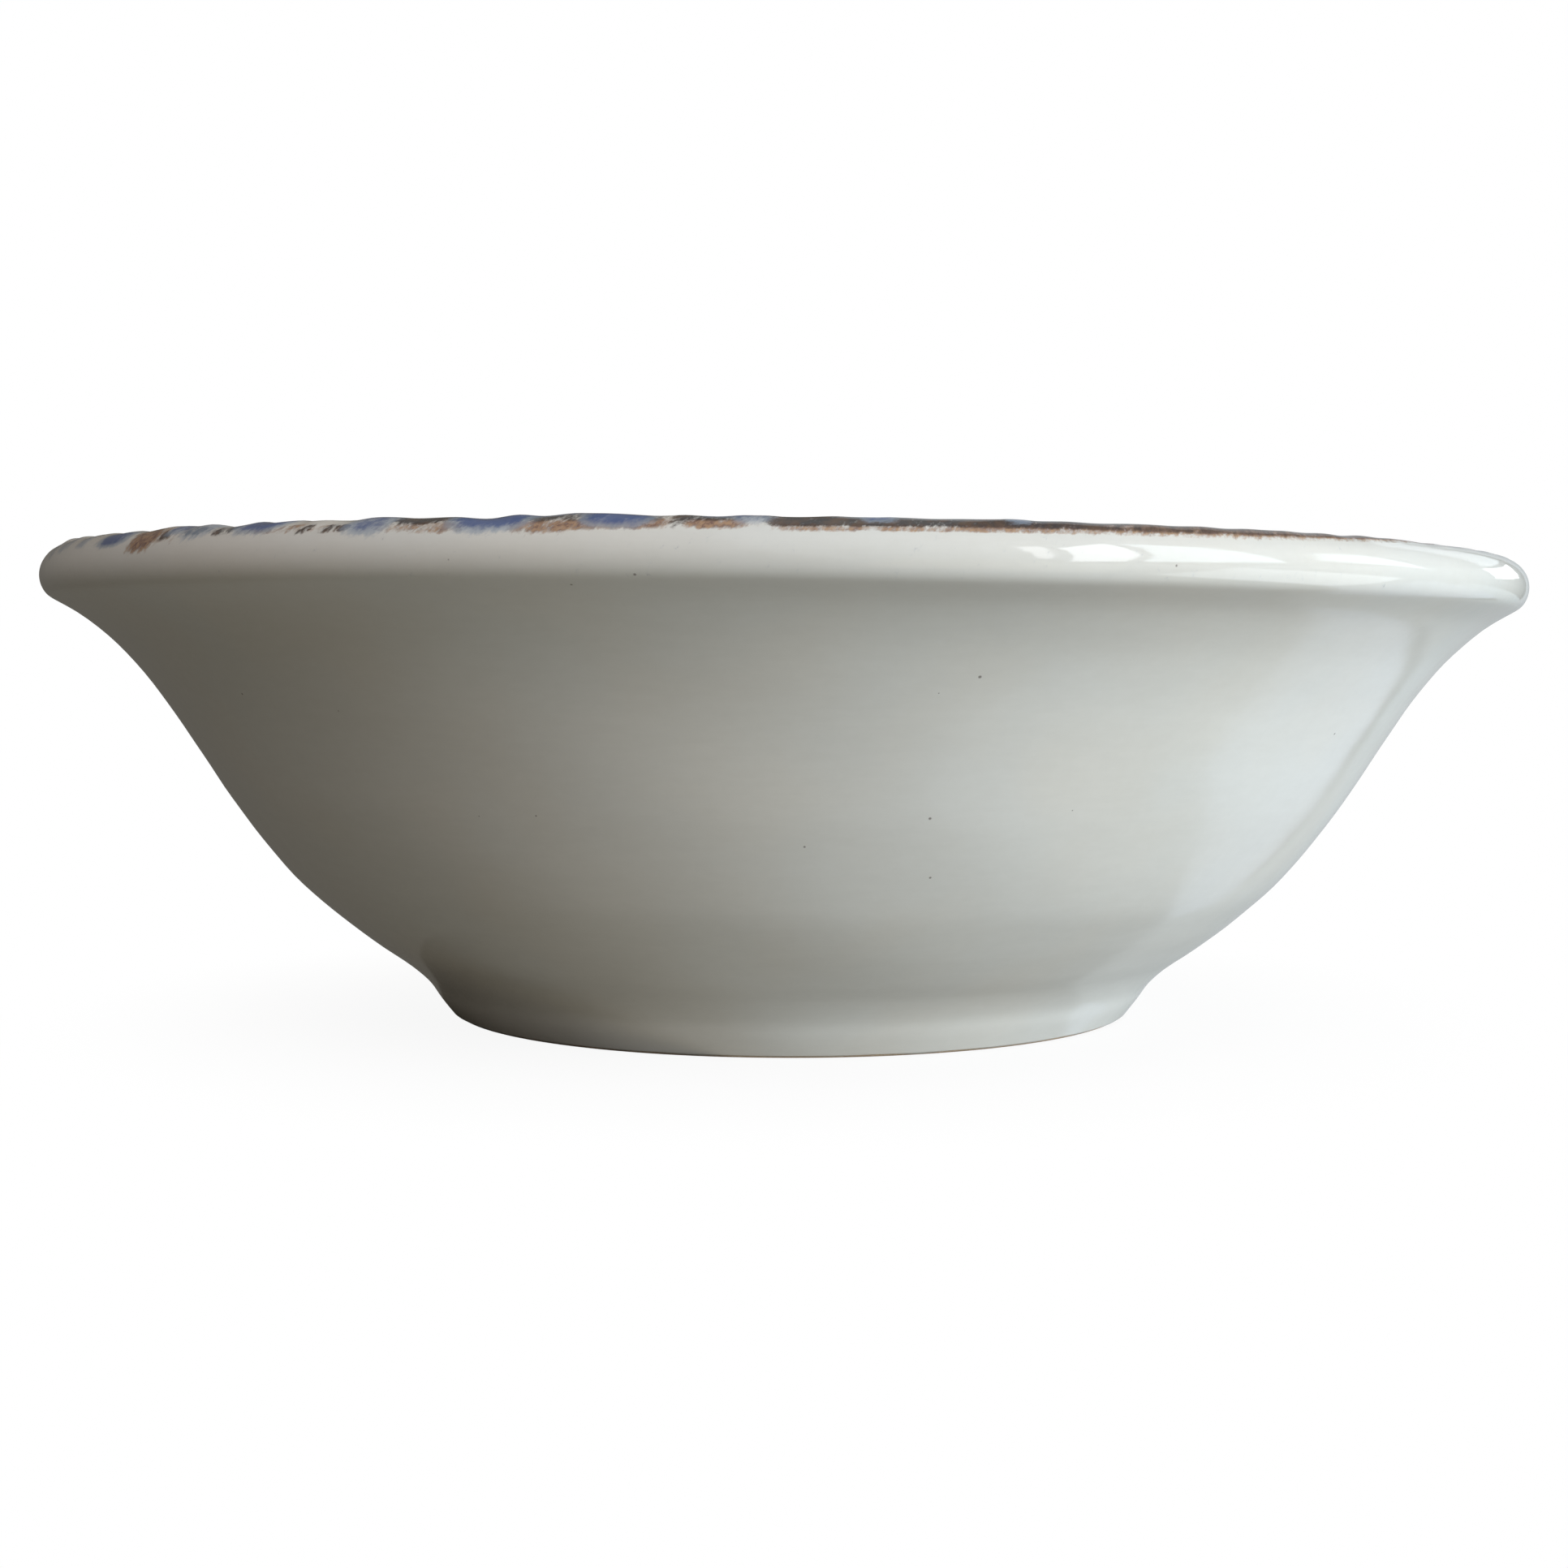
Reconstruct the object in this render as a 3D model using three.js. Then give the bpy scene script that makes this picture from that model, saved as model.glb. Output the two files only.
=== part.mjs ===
// Hand-painted shaving bowl, millimetres, +Z up. The origin is on the bowl's own
// axis, in the plane that its foot ring stands on.
import * as THREE from 'three';

// Driving dimensions of the finished, glazed bowl
const RIM_RADIUS = 75;
const LIP_RADIUS = 2.7; // of the round lip's own section
const LIP_CENTRE_Z = 44;
const LIP_UNDERSIDE_ANGLE = -45; // degrees round the lip's section; 0 points away from the axis
const LIP_INSIDE_ANGLE = 122;
const FOOT_RADIUS = 35.5;
const FOOT_EDGE = 0.35; // height of the foot's bare, eased bottom edge
const FOOT_JOINT_Z = 3.2; // plane where the foot ring is luted to the bowl
const STANDING_FACE = [31.2, 34.9]; // inner and outer radius of the flat face it stands on
const RECESS_RADIUS = 29.4; // of the hollow inside the foot ring
const WELL_FLOOR_RADIUS = 24;
const WELL_FLOOR_Z = 8;
const WALL_THICKNESS = 4.9;
const GLAZE = 0.4;
const BOND_GAP = 0.02; // between a coat and the clay under it

// The painted rim: a band of iron slip over the crown of the lip, and dabs of cobalt slip
// brushed across it. Angles run round the lip's section.
const RIM_INSIDE_WIDTH = 10; // how far the rim's own coat runs down the inside wall
const BAND_THICKNESS = 0.08;
const DAB_COUNT = 22;
const DAB_ANGLES = [22, 104];
const DAB_THICKNESS = 0.16;
const DAB_GAP = 0.08; // a straight dab stays this clear of the faceted band
const DAB_WIDTHS = [2.6, 3.8, 3.1, 4.4]; // the brush was loaded differently each time
const DAB_DRIFTS = [0.1, -0.16, 0.2, -0.06, 0.13, -0.2, 0.04]; // share of one spacing

const SEGMENTS = 48;
const WALL_STEPS = 16;
const RIM_STEPS = 3;
const LIP_STEPS = 8; // facets round the lip's section
const BAND_FACETS = [4, 7]; // the first and last corner of the lip's section that the band covers

// Outside of the wall from the foot's edge, over the cove and the belly, to the flared lip
const OUTSIDE_POINTS = [
  [FOOT_RADIUS, FOOT_EDGE], [36.8, 2], [38, 3.7], [40.1, 5.6], [43.2, 7.8], [46.8, 10.6],
  [50.8, 14.2], [54.3, 18.4], [57.6, 23], [60.7, 27.9], [63.9, 32.7], [67.2, 36.8], [70.7, 40],
];

const LIP_CENTRE = new THREE.Vector2(RIM_RADIUS - LIP_RADIUS, LIP_CENTRE_Z);

function lipPoint(angle, radius = LIP_RADIUS) {
  const a = THREE.MathUtils.degToRad(angle);
  return new THREE.Vector2(Math.cos(a), Math.sin(a)).multiplyScalar(radius).add(LIP_CENTRE);
}

function lipArc(from, to, radius = LIP_RADIUS) {
  const angles = Array.from({ length: LIP_STEPS + 1 }, (_, i) => from + ((to - from) * i) / LIP_STEPS);
  return angles.map((angle) => lipPoint(angle, radius));
}

// The point of a curve at a share of its length, moved sideways to the left of its direction
function beside(curve, share, distance) {
  const along = curve.getTangentAt(share);
  const left = new THREE.Vector2(-along.y, along.x);
  return curve.getPointAt(share).addScaledVector(left, distance);
}

// The same outline moved to its left by one thickness everywhere
function offset(points, distance) {
  return points.map((point, i) => {
    const before = points[Math.max(i - 1, 0)];
    const after = points[Math.min(i + 1, points.length - 1)];
    const along = after.clone().sub(before).normalize();
    return new THREE.Vector2(-along.y, along.x).multiplyScalar(distance).add(point);
  });
}

const outsideCurve = new THREE.SplineCurve(
  [...OUTSIDE_POINTS.map(([r, z]) => new THREE.Vector2(r, z)), lipPoint(LIP_UNDERSIDE_ANGLE)],
);

// Inside of the wall from the lip down to the well: parallel to the outside, then a floor curve
function insideCurve() {
  const wallShares = [0.86, 0.72, 0.58, 0.44, 0.33];
  const wall = wallShares.map((share) => beside(outsideCurve, share, WALL_THICKNESS));
  const floor = [[34, 9.6], [WELL_FLOOR_RADIUS, WELL_FLOOR_Z]];
  return new THREE.SplineCurve([
    lipPoint(LIP_INSIDE_ANGLE), ...wall, ...floor.map(([r, z]) => new THREE.Vector2(r, z)),
  ]);
}

const insideWall = insideCurve();
const rimShare = RIM_INSIDE_WIDTH / insideWall.getLength();

function sampled(curve, from, to, steps) {
  const shares = Array.from({ length: steps + 1 }, (_, i) => THREE.MathUtils.lerp(from, to, i / steps));
  return shares.map((share) => curve.getPointAt(share));
}

// Finished outlines, each running from the foot, up the outside, over the lip and down inside
const lipOutline = lipArc(LIP_UNDERSIDE_ANGLE, LIP_INSIDE_ANGLE);
const outsideOutline = sampled(outsideCurve, 0, 1, WALL_STEPS);
const rimOutline = [...lipOutline, ...sampled(insideWall, 0, rimShare, RIM_STEPS).slice(1)];
const insideOutline = [
  ...sampled(insideWall, rimShare, 1, WALL_STEPS - RIM_STEPS),
  new THREE.Vector2(0, WELL_FLOOR_Z),
];
const wholeOutline = [...outsideOutline, ...rimOutline.slice(1), ...insideOutline.slice(1)];
const rimStart = outsideOutline.length - 1;
const rimEnd = rimStart + rimOutline.length - 1;

function turned(outline) {
  const geometry = new THREE.LatheGeometry(outline, SEGMENTS);
  return geometry.rotateX(Math.PI / 2);
}

function closed(outline) {
  return [...outline, outline[0].clone()];
}

function onAxis(point) {
  return new THREE.Vector2(0, point.y);
}

// Where a rising outline crosses a height
function cutAbove(outline, z) {
  const i = outline.findIndex((point) => point.y > z);
  const share = (z - outline[i - 1].y) / (outline[i].y - outline[i - 1].y);
  return [outline[i - 1].clone().lerp(outline[i], share), ...outline.slice(i)];
}

// The same outline at a depth below the finished surface; the last point stays on the axis
function outlineAtDepth(depth) {
  const outline = offset(wholeOutline, depth);
  return [...outline.slice(0, -1), new THREE.Vector2(0, WELL_FLOOR_Z - depth)];
}

const clayOutline = outlineAtDepth(GLAZE);
const coatUnderside = outlineAtDepth(GLAZE - BOND_GAP);

// The thrown wall, well floor and lip, cut flat underneath where the foot ring joins it
function clayBody() {
  const above = cutAbove(clayOutline, FOOT_JOINT_Z);
  return turned([onAxis(above[0]), ...above]);
}

// The ring luted under the bowl: a flat standing face, an eased edge and a flared outer side
function footRing() {
  const top = FOOT_JOINT_Z - BOND_GAP;
  const joint = cutAbove(clayOutline, top)[0];
  const [standingInner, standingOuter] = STANDING_FACE;
  const edge = clayOutline[0];
  return turned(closed([
    [standingInner, 0], [standingOuter, 0], [edge.x - 0.06, FOOT_EDGE * 0.4], [edge.x, edge.y],
    [joint.x, top], [RECESS_RADIUS, top], [RECESS_RADIUS + 0.6, 1.4], [standingInner - 0.5, 0.4],
  ].map(([r, z]) => new THREE.Vector2(r, z))));
}

// A coat that lies on the clay between two points of the finished outline
function coat(first, last) {
  const over = wholeOutline.slice(first, last + 1);
  const under = coatUnderside.slice(first, last + 1);
  const reachesAxis = last === wholeOutline.length - 1;
  return turned(reachesAxis
    ? [...under.reverse(), ...over]
    : closed([...over, ...under.reverse()]));
}

// The slip band, a thin closed strip lying on the crown of the rim's coat
function slipBand() {
  const [first, last] = BAND_FACETS;
  const strip = (radius) => lipArc(LIP_UNDERSIDE_ANGLE, LIP_INSIDE_ANGLE, radius).slice(first, last + 1);
  const under = LIP_RADIUS + BOND_GAP;
  return turned(closed([...strip(under + BAND_THICKNESS), ...strip(under).reverse()]));
}

// The coat in the hollow inside the foot ring
function baseCoat() {
  const top = FOOT_JOINT_Z - BOND_GAP;
  const radius = RECESS_RADIUS - BOND_GAP;
  return turned([[0, top - GLAZE], [radius - GLAZE, top - GLAZE], [radius, top], [0, top]]
    .map(([r, z]) => new THREE.Vector2(r, z)));
}

// One brush mark: a thin strip bent over the lip, with eased ends
function dab(width) {
  const [from, to] = DAB_ANGLES;
  const under = LIP_RADIUS + BOND_GAP + BAND_THICKNESS + DAB_GAP;
  const steps = 4;
  const heights = [0.3, 0.9, 1, 0.9, 0.3];
  const angles = heights.map((_, i) => from + ((to - from) * i) / steps);
  const top = angles.map((angle, i) => lipPoint(angle, under + DAB_THICKNESS * heights[i]));
  const bottom = angles.map((angle) => lipPoint(angle, under)).reverse();
  const shape = new THREE.Shape([...top, ...bottom]);
  const geometry = new THREE.ExtrudeGeometry(shape, { depth: width, bevelEnabled: false, steps: 1 });
  return geometry.translate(0, 0, -width / 2).rotateX(Math.PI / 2);
}

const biscuit = { color: 0xcdb598, roughness: 0.9, metalness: 0 };
const ivoryGlaze = { color: 0xe4e1d6, roughness: 0.14, metalness: 0 };
const ironSlip = { color: 0x6e4a33, roughness: 0.32, metalness: 0 };
const cobaltSlip = { color: 0x4a6796, roughness: 0.28, metalness: 0 };

const bowl = new THREE.Group();

function add(name, geometry, look) {
  const mesh = new THREE.Mesh(geometry, new THREE.MeshStandardMaterial(look));
  mesh.name = name;
  bowl.add(mesh);
  return mesh;
}

add('clay_body', clayBody(), biscuit);
add('foot_ring', footRing(), biscuit);
add('glaze_outside', coat(0, rimStart), ivoryGlaze);
add('glaze_rim', coat(rimStart, rimEnd), ivoryGlaze);
add('glaze_inside', coat(rimEnd, wholeOutline.length - 1), ivoryGlaze);
add('glaze_base', baseCoat(), ivoryGlaze);
add('iron_slip_band', slipBand(), ironSlip);

for (let i = 0; i < DAB_COUNT; i++) {
  const number = String(i + 1).padStart(2, '0');
  const mark = add(`blue_dab_${number}`, dab(DAB_WIDTHS[i % DAB_WIDTHS.length]), cobaltSlip);
  mark.rotation.z = ((i + DAB_DRIFTS[i % DAB_DRIFTS.length]) * 2 * Math.PI) / DAB_COUNT;
}

export default bowl;
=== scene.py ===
"""A hand-painted shaving bowl of glazed earthenware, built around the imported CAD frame.

Sizes are in millimetres and turned into metres with MM. Azimuths are in degrees from the
front of the bowl (-Y), and grow towards its right (+X). Lip angles run round the lip's own
section: 0 points away from the axis, 90 points up.
"""
import math

import bpy
import numpy as np
from mathutils import Matrix, Vector


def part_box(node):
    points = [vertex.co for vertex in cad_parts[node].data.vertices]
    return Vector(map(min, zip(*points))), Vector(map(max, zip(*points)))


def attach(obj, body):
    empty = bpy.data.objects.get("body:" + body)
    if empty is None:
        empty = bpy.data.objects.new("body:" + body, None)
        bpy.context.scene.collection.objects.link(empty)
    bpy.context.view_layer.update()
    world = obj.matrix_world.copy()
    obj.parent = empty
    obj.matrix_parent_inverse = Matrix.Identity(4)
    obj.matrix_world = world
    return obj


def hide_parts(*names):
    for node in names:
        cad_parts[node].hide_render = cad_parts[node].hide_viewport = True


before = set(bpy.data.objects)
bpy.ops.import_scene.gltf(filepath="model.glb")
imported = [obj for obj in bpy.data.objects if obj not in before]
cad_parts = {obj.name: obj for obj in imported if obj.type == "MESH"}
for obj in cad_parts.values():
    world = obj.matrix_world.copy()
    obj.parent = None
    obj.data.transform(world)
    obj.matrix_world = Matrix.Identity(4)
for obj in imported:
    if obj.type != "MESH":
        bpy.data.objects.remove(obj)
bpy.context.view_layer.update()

# The finished bowl's driving dimensions, as the CAD part has them
RIM_RADIUS = 75
LIP_RADIUS = 2.7
LIP_CENTRE_Z = 44
LIP_UNDERSIDE_ANGLE = -45
LIP_INSIDE_ANGLE = 122
FOOT_RADIUS = 35.5
FOOT_EDGE = 0.35
FOOT_JOINT_Z = 3.2
STANDING_FACE = (31.2, 34.9)
RECESS_RADIUS = 29.4
WELL_FLOOR_RADIUS = 24
WELL_FLOOR_Z = 8
WALL_THICKNESS = 4.9
GLAZE = 0.4
BOND_GAP = 0.02
RIM_INSIDE_WIDTH = 10
OUTSIDE_POINTS = [
    (FOOT_RADIUS, FOOT_EDGE), (36.8, 2), (38, 3.7), (40.1, 5.6), (43.2, 7.8), (46.8, 10.6),
    (50.8, 14.2), (54.3, 18.4), (57.6, 23), (60.7, 27.9), (63.9, 32.7), (67.2, 36.8), (70.7, 40),
]
INSIDE_SHARES = [0.86, 0.72, 0.58, 0.44, 0.33]
FLOOR_CURVE = [(34, 9.6), (WELL_FLOOR_RADIUS, WELL_FLOOR_Z)]

RIM_FACET_LOSS = 0.004  # how far the packed, faceted rim stays inside its round radius
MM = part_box("glaze_rim")[1].x / (RIM_RADIUS - RIM_FACET_LOSS)
LIP_CENTRE = np.array([RIM_RADIUS - LIP_RADIUS, LIP_CENTRE_Z])
SEGMENTS = 960
SEED = 7

# Brush marks of the painted rim: slip, azimuth, width in mm, lip angles of the lower and upper
# end, slant in mm per mm, strength
BLUE, DARK, RUST = "blue", "dark", "rust"
FRONT_MARKS = [
    (BLUE, -60.5, 4.0, 30, 70, 0.5, 0.40), (BLUE, -56.0, 2.6, 32, 72, 0.5, 0.42),
    (RUST, -43.0, 3.4, 28, 74, 0.5, 0.50), (BLUE, -40.2, 4.2, 34, 84, 0.6, 0.45),
    (DARK, -37.4, 3.4, 38, 72, 0.7, 0.45), (RUST, -31.4, 5.0, 36, 64, 0.6, 0.55),
    (RUST, -28.4, 3.6, 34, 58, 0.5, 0.55), (RUST, -24.4, 3.2, 34, 60, 0.4, 0.50),
    (RUST, -80.0, 4.4, 34, 60, 0.4, 0.80), (DARK, -78.6, 3.6, 48, 96, 0.4, 0.70),
    (BLUE, -73.5, 4.6, 36, 106, 0.4, 0.70), (DARK, -69.6, 2.6, 44, 92, 0.4, 0.50),
    (BLUE, -64.0, 3.0, 20, 66, 0.5, 0.35), (BLUE, -50.5, 5.2, 30, 72, 0.6, 0.95),
    (RUST, -46.0, 4.6, 12, 80, 0.35, 1.00), (DARK, -43.6, 2.0, 32, 62, 0.6, 0.70),
    (BLUE, -42.3, 2.4, 46, 95, 0.8, 0.75), (DARK, -40.5, 3.2, 40, 64, 0.7, 0.75),
    (DARK, -37.6, 3.0, 38, 70, 0.7, 0.60), (BLUE, -34.4, 5.0, 42, 110, 0.6, 1.00),
    (RUST, -34.8, 4.6, 36, 50, 0.4, 0.60), (DARK, -30.6, 1.3, 34, 60, 0.9, 0.78),
    (DARK, -28.9, 1.2, 34, 58, 0.8, 0.78), (DARK, -27.9, 1.6, 36, 57, 0.5, 0.78),
    (BLUE, -25.9, 4.2, 32, 105, 0.35, 0.70), (RUST, -21.5, 6.0, 30, 58, 0.2, 0.70),
    (DARK, -22.9, 4.8, 48, 100, 0.3, 0.95), (DARK, -20.4, 4.8, 56, 100, 0.2, 0.95),
    (BLUE, -17.9, 6.4, 36, 112, 0.25, 1.00), (RUST, -14.8, 5.2, 27, 60, 0.2, 0.80),
    (DARK, -15.0, 4.4, 50, 92, 0.2, 0.85), (BLUE, -13.9, 3.6, 71, 110, 0.2, 0.45),
    (RUST, -12.0, 4.6, 32, 58, 0.2, 0.85), (DARK, -12.2, 4.0, 50, 95, 0.2, 0.75),
    (BLUE, -10.2, 5.2, 42, 112, 0.15, 1.00), (RUST, -8.9, 4.6, 34, 62, 0.9, 0.85),
    (DARK, -8.7, 3.2, 48, 74, 0.9, 0.70), (DARK, -6.5, 1.6, 36, 82, 0.4, 0.70),
    (RUST, -4.6, 5.2, 36, 62, 0.1, 0.95), (DARK, -4.7, 4.8, 52, 84, 0.1, 0.85),
    (BLUE, -4.0, 4.2, 67, 108, 0.1, 0.50), (BLUE, -2.3, 3.0, 49, 104, 0.2, 0.55),
    (DARK, -0.3, 3.6, 50, 110, 0.3, 0.80), (BLUE, 4.9, 2.8, 57, 106, 0.1, 0.70),
    (BLUE, 13.4, 2.2, 55, 100, 0.1, 0.50),
]
# Where the iron slip was drawn as one continuous line: its first and last azimuth
LINE_ARC = (-1.5, 84)
# The painted band's lower edge, as lip angles at azimuths
EDGE_AZIMUTHS = [-180, -80, -60, -48, -36, -24, -10, 0, 8, 16, 26, 34, 40, 46, 52, 60, 80, 92, 180]
EDGE_ANGLES = [42, 34, 36, 34, 36, 30, 30, 36, 38, 40, 42, 46, 55, 68, 82, 92, 88, 60, 42]

# Small marks in the ivory glaze, outside: azimuth, height, radius
SPECKS = [
    (-9.1, 42.3, 0.13), (23.0, 43.5, 0.11), (12.9, 34.9, 0.14), (11.2, 23.3, 0.13),
    (12.3, 18.1, 0.11), (1.0, 20.9, 0.1), (-20.2, 43.4, 0.1), (-13.1, 41.6, 0.11), (-21.5, 23.2, 0.09),
    (23.7, 23.8, 0.07), (-27.0, 23.0, 0.07), (10.2, 33.6, 0.06), (52, 30, 0.12), (-48, 33, 0.1),
]


# ---------------------------------------------------------------- outline of the finished bowl

def lip_point(angle, radius=LIP_RADIUS):
    a = math.radians(angle)
    return LIP_CENTRE + radius * np.array([math.cos(a), math.sin(a)])


def catmull_rom(points, per_span=60):
    """A dense line through the points."""
    p = np.array([points[0], *points, points[-1]], float)
    t = np.linspace(0, 1, per_span, endpoint=False)[:, None]
    spans = [
        0.5 * (2 * b + (c - a) * t + (2 * a - 5 * b + 4 * c - d) * t**2 + (3 * b - a - 3 * c + d) * t**3)
        for a, b, c, d in zip(p, p[1:], p[2:], p[3:])
    ]
    return np.vstack([*spans, p[-1]])


def lengths(line):
    return np.concatenate([[0], np.cumsum(np.linalg.norm(np.diff(line, axis=0), axis=1))])


def along(line, distance):
    """Points of a line at distances from its start."""
    s = lengths(line)
    return np.stack([np.interp(distance, s, line[:, k]) for k in (0, 1)], axis=-1)


def beside(line, share, offset):
    """The point at a share of a line's length, moved to the left of its direction."""
    at = lengths(line)[-1] * share
    here, ahead = along(line, at), along(line, at + 0.01)
    step = (ahead - here) / np.linalg.norm(ahead - here)
    return here + offset * np.array([-step[1], step[0]])


def softened(line, sigma=0.35, step=0.05):
    """The same line with its corners eased, as a glaze eases them. Its ends stay."""
    total = lengths(line)[-1]
    even = along(line, np.linspace(0, total, round(total / step) + 1))
    reach = int(4 * sigma / step)
    kernel = np.exp(-0.5 * (np.arange(-reach, reach + 1) * step / sigma) ** 2)
    padded = np.pad(even, ((reach, reach), (0, 0)), mode="reflect", reflect_type="odd")
    return np.column_stack([np.convolve(padded[:, k], kernel / kernel.sum(), "valid") for k in (0, 1)])


def outside_line():
    return catmull_rom([*OUTSIDE_POINTS, lip_point(LIP_UNDERSIDE_ANGLE)])


def finished_outline():
    """From the foot's edge up the outside, over the lip and down inside to the axis."""
    outside = outside_line()
    lip = [lip_point(a) for a in np.linspace(LIP_UNDERSIDE_ANGLE, LIP_INSIDE_ANGLE, 160)]
    wall = [beside(outside, share, WALL_THICKNESS) for share in INSIDE_SHARES]
    inside = catmull_rom([lip_point(LIP_INSIDE_ANGLE), *wall, *FLOOR_CURVE])
    floor = np.linspace(FLOOR_CURVE[-1], (0, WELL_FLOOR_Z), 200)
    return softened(np.vstack([outside, lip[1:], inside[1:], floor[1:]]))


OUTLINE = finished_outline()
LIP_START = lengths(outside_line())[-1]
LIP_LENGTH = math.radians(LIP_INSIDE_ANGLE - LIP_UNDERSIDE_ANGLE) * LIP_RADIUS
RIM_END = LIP_START + LIP_LENGTH + RIM_INSIDE_WIDTH
OUTLINE_END = lengths(OUTLINE)[-1]
AZIMUTHS = np.arange(SEGMENTS) * 360 / SEGMENTS


def lip_angle(s):
    """The angle round the lip's section at a distance along the outline."""
    return LIP_UNDERSIDE_ANGLE + np.degrees((s - LIP_START) / LIP_RADIUS)


# ---------------------------------------------------------------- smooth functions

def smoothstep(low, high, x):
    t = np.clip((x - low) / (high - low), 0, 1)
    return t * t * (3 - 2 * t)


def turned_by(azimuth, centre):
    """Signed difference between azimuths, from -180 to 180."""
    return (azimuth - centre + 180) % 360 - 180


def ripple(rng, azimuth, s, waves, around, down, height):
    """A sum of smooth random waves that closes round the bowl. around is the range of waves per turn."""
    total = np.zeros(np.broadcast(azimuth, s).shape)
    for _ in range(waves):
        turns = rng.integers(around[0], around[1] + 1)
        pitch = rng.uniform(*down) * rng.choice([-1, 1])
        phase = rng.uniform(0, 2 * math.pi)
        total += np.cos(np.radians(azimuth) * turns + 2 * math.pi * s / pitch + phase)
    return total * height * math.sqrt(2 / waves)


# ---------------------------------------------------------------- brush marks

def back_marks():
    """Brush marks for the part of the rim behind the front ones, in the same rhythm."""
    rng = np.random.default_rng(SEED)
    marks = []
    azimuth = 84.0
    while azimuth < 290:
        marks.append((RUST, azimuth + rng.uniform(-1, 1), rng.uniform(3.5, 6), rng.uniform(30, 40),
                      rng.uniform(52, 64), rng.uniform(0.1, 0.6), rng.uniform(0.5, 0.95)))
        marks.append((DARK, azimuth + rng.uniform(-1, 1), rng.uniform(2, 5), rng.uniform(44, 54),
                      rng.uniform(80, 106), rng.uniform(0.1, 0.6), rng.uniform(0.5, 0.9)))
        azimuth += rng.uniform(2.6, 4.2)
        marks.append((BLUE, azimuth, rng.uniform(3, 6.4), rng.uniform(46, 58),
                      rng.uniform(104, 114), rng.uniform(0.1, 0.6), rng.uniform(0.6, 1)))
        azimuth += rng.uniform(2.8, 5.2)
    return marks


def inside_marks(marks):
    """The same strokes where they come down on the inner side of the lip."""
    rng = np.random.default_rng(SEED + 1)
    return [
        (kind, azimuth + rng.uniform(-1.2, 1.2), width * rng.uniform(0.9, 1.3), 96,
         rng.uniform(150, 215), -slant, strength * rng.uniform(0.7, 1))
        for kind, azimuth, width, _, _, slant, strength in marks
    ]


def mark_field(azimuth, angle, mark):
    """1 well inside a brush mark, falling smoothly to 0 round it."""
    _, centre, width, low, high, slant, strength = mark
    up = np.radians(angle - (low + high) / 2) * LIP_RADIUS
    across = np.radians(turned_by(azimuth, centre)) * RIM_RADIUS - slant * up
    half_height = math.radians(high - low) / 2 * LIP_RADIUS
    distance = ((np.abs(across) / (width / 2)) ** 3 + (np.abs(up) / half_height) ** 3) ** (1 / 3)
    return strength * smoothstep(1.5, 0.5, distance)


def joined(fields):
    clear = np.ones_like(fields[0])
    for field in fields:
        clear *= 1 - field
    return 1 - clear


def edge_angle(azimuth):
    """The lip angle of the painted band's lower edge."""
    return np.interp(turned_by(azimuth, 0), EDGE_AZIMUTHS, EDGE_ANGLES)


def line_field(azimuth, angle):
    """The continuous iron line, over the top of the lip."""
    first, last = LINE_ARC
    side = turned_by(azimuth, 0)
    there = smoothstep(first - 1.5, first + 1.5, side) * smoothstep(last + 6, last - 6, side)
    edge = edge_angle(azimuth)
    return there * smoothstep(edge, edge + 12, angle) * smoothstep(150, 110, angle)


def paint_fields(azimuth, angle):
    """How much of each slip lies at each point."""
    marks = FRONT_MARKS + back_marks()
    marks += inside_marks(marks)
    fields = {
        kind: joined([mark_field(azimuth, angle, mark) for mark in marks if mark[0] == kind])
        for kind in (BLUE, DARK, RUST)
    }
    line = line_field(azimuth, angle)
    edge = edge_angle(azimuth)
    fringe = smoothstep(edge - 7, edge, angle) * smoothstep(edge + 22, edge + 8, angle)
    on_line = smoothstep(LINE_ARC[0] - 1.5, LINE_ARC[0] + 1.5, turned_by(azimuth, 0))
    on_line = on_line * smoothstep(LINE_ARC[1] + 6, LINE_ARC[1] - 6, turned_by(azimuth, 0))
    thin = smoothstep(14, 22, turned_by(azimuth, 0))
    browned = smoothstep(7, 13, turned_by(azimuth, 0))
    fields[DARK] = joined([fields[DARK], line * (0.95 - 0.3 * thin)])
    fields[RUST] = joined([fields[RUST], fringe * on_line * (0.7 - 0.25 * thin), line * browned])
    fields["wash"] = smoothstep(edge - 14, edge + 24, angle) * smoothstep(240, 170, angle)
    return fields


# ---------------------------------------------------------------- surface of the bowl

def relief(azimuth, s):
    """How far the glazed surface stands proud of its outline: turning, glaze and brush work."""
    rng = np.random.default_rng(SEED + 2)
    angle = np.broadcast_to(lip_angle(s), np.broadcast(azimuth, s).shape)
    surface = 0.008 * np.cos(2 * math.pi * s / 5.2 + np.radians(azimuth))
    surface = surface + ripple(rng, azimuth, s, 8, (3, 16), (9, 26), 0.018)
    if angle.max() < 20 or angle.min() > 240:
        return surface
    crown = smoothstep(48, 78, angle) * smoothstep(150, 105, angle)
    left = 0.35 + 0.65 * smoothstep(12, -14, turned_by(azimuth, 0))
    uneven = ripple(rng, azimuth, s, 6, (70, 125), (5, 14), 0.055)
    uneven += ripple(rng, azimuth, s, 5, (20, 44), (8, 20), 0.05)
    fields = paint_fields(azimuth, angle)
    body = 0.09 * fields[BLUE] + 0.06 * fields[DARK] + 0.03 * fields[RUST]
    return surface + crown * left * uneven + body * smoothstep(20, 50, angle) * smoothstep(240, 150, angle)


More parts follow.
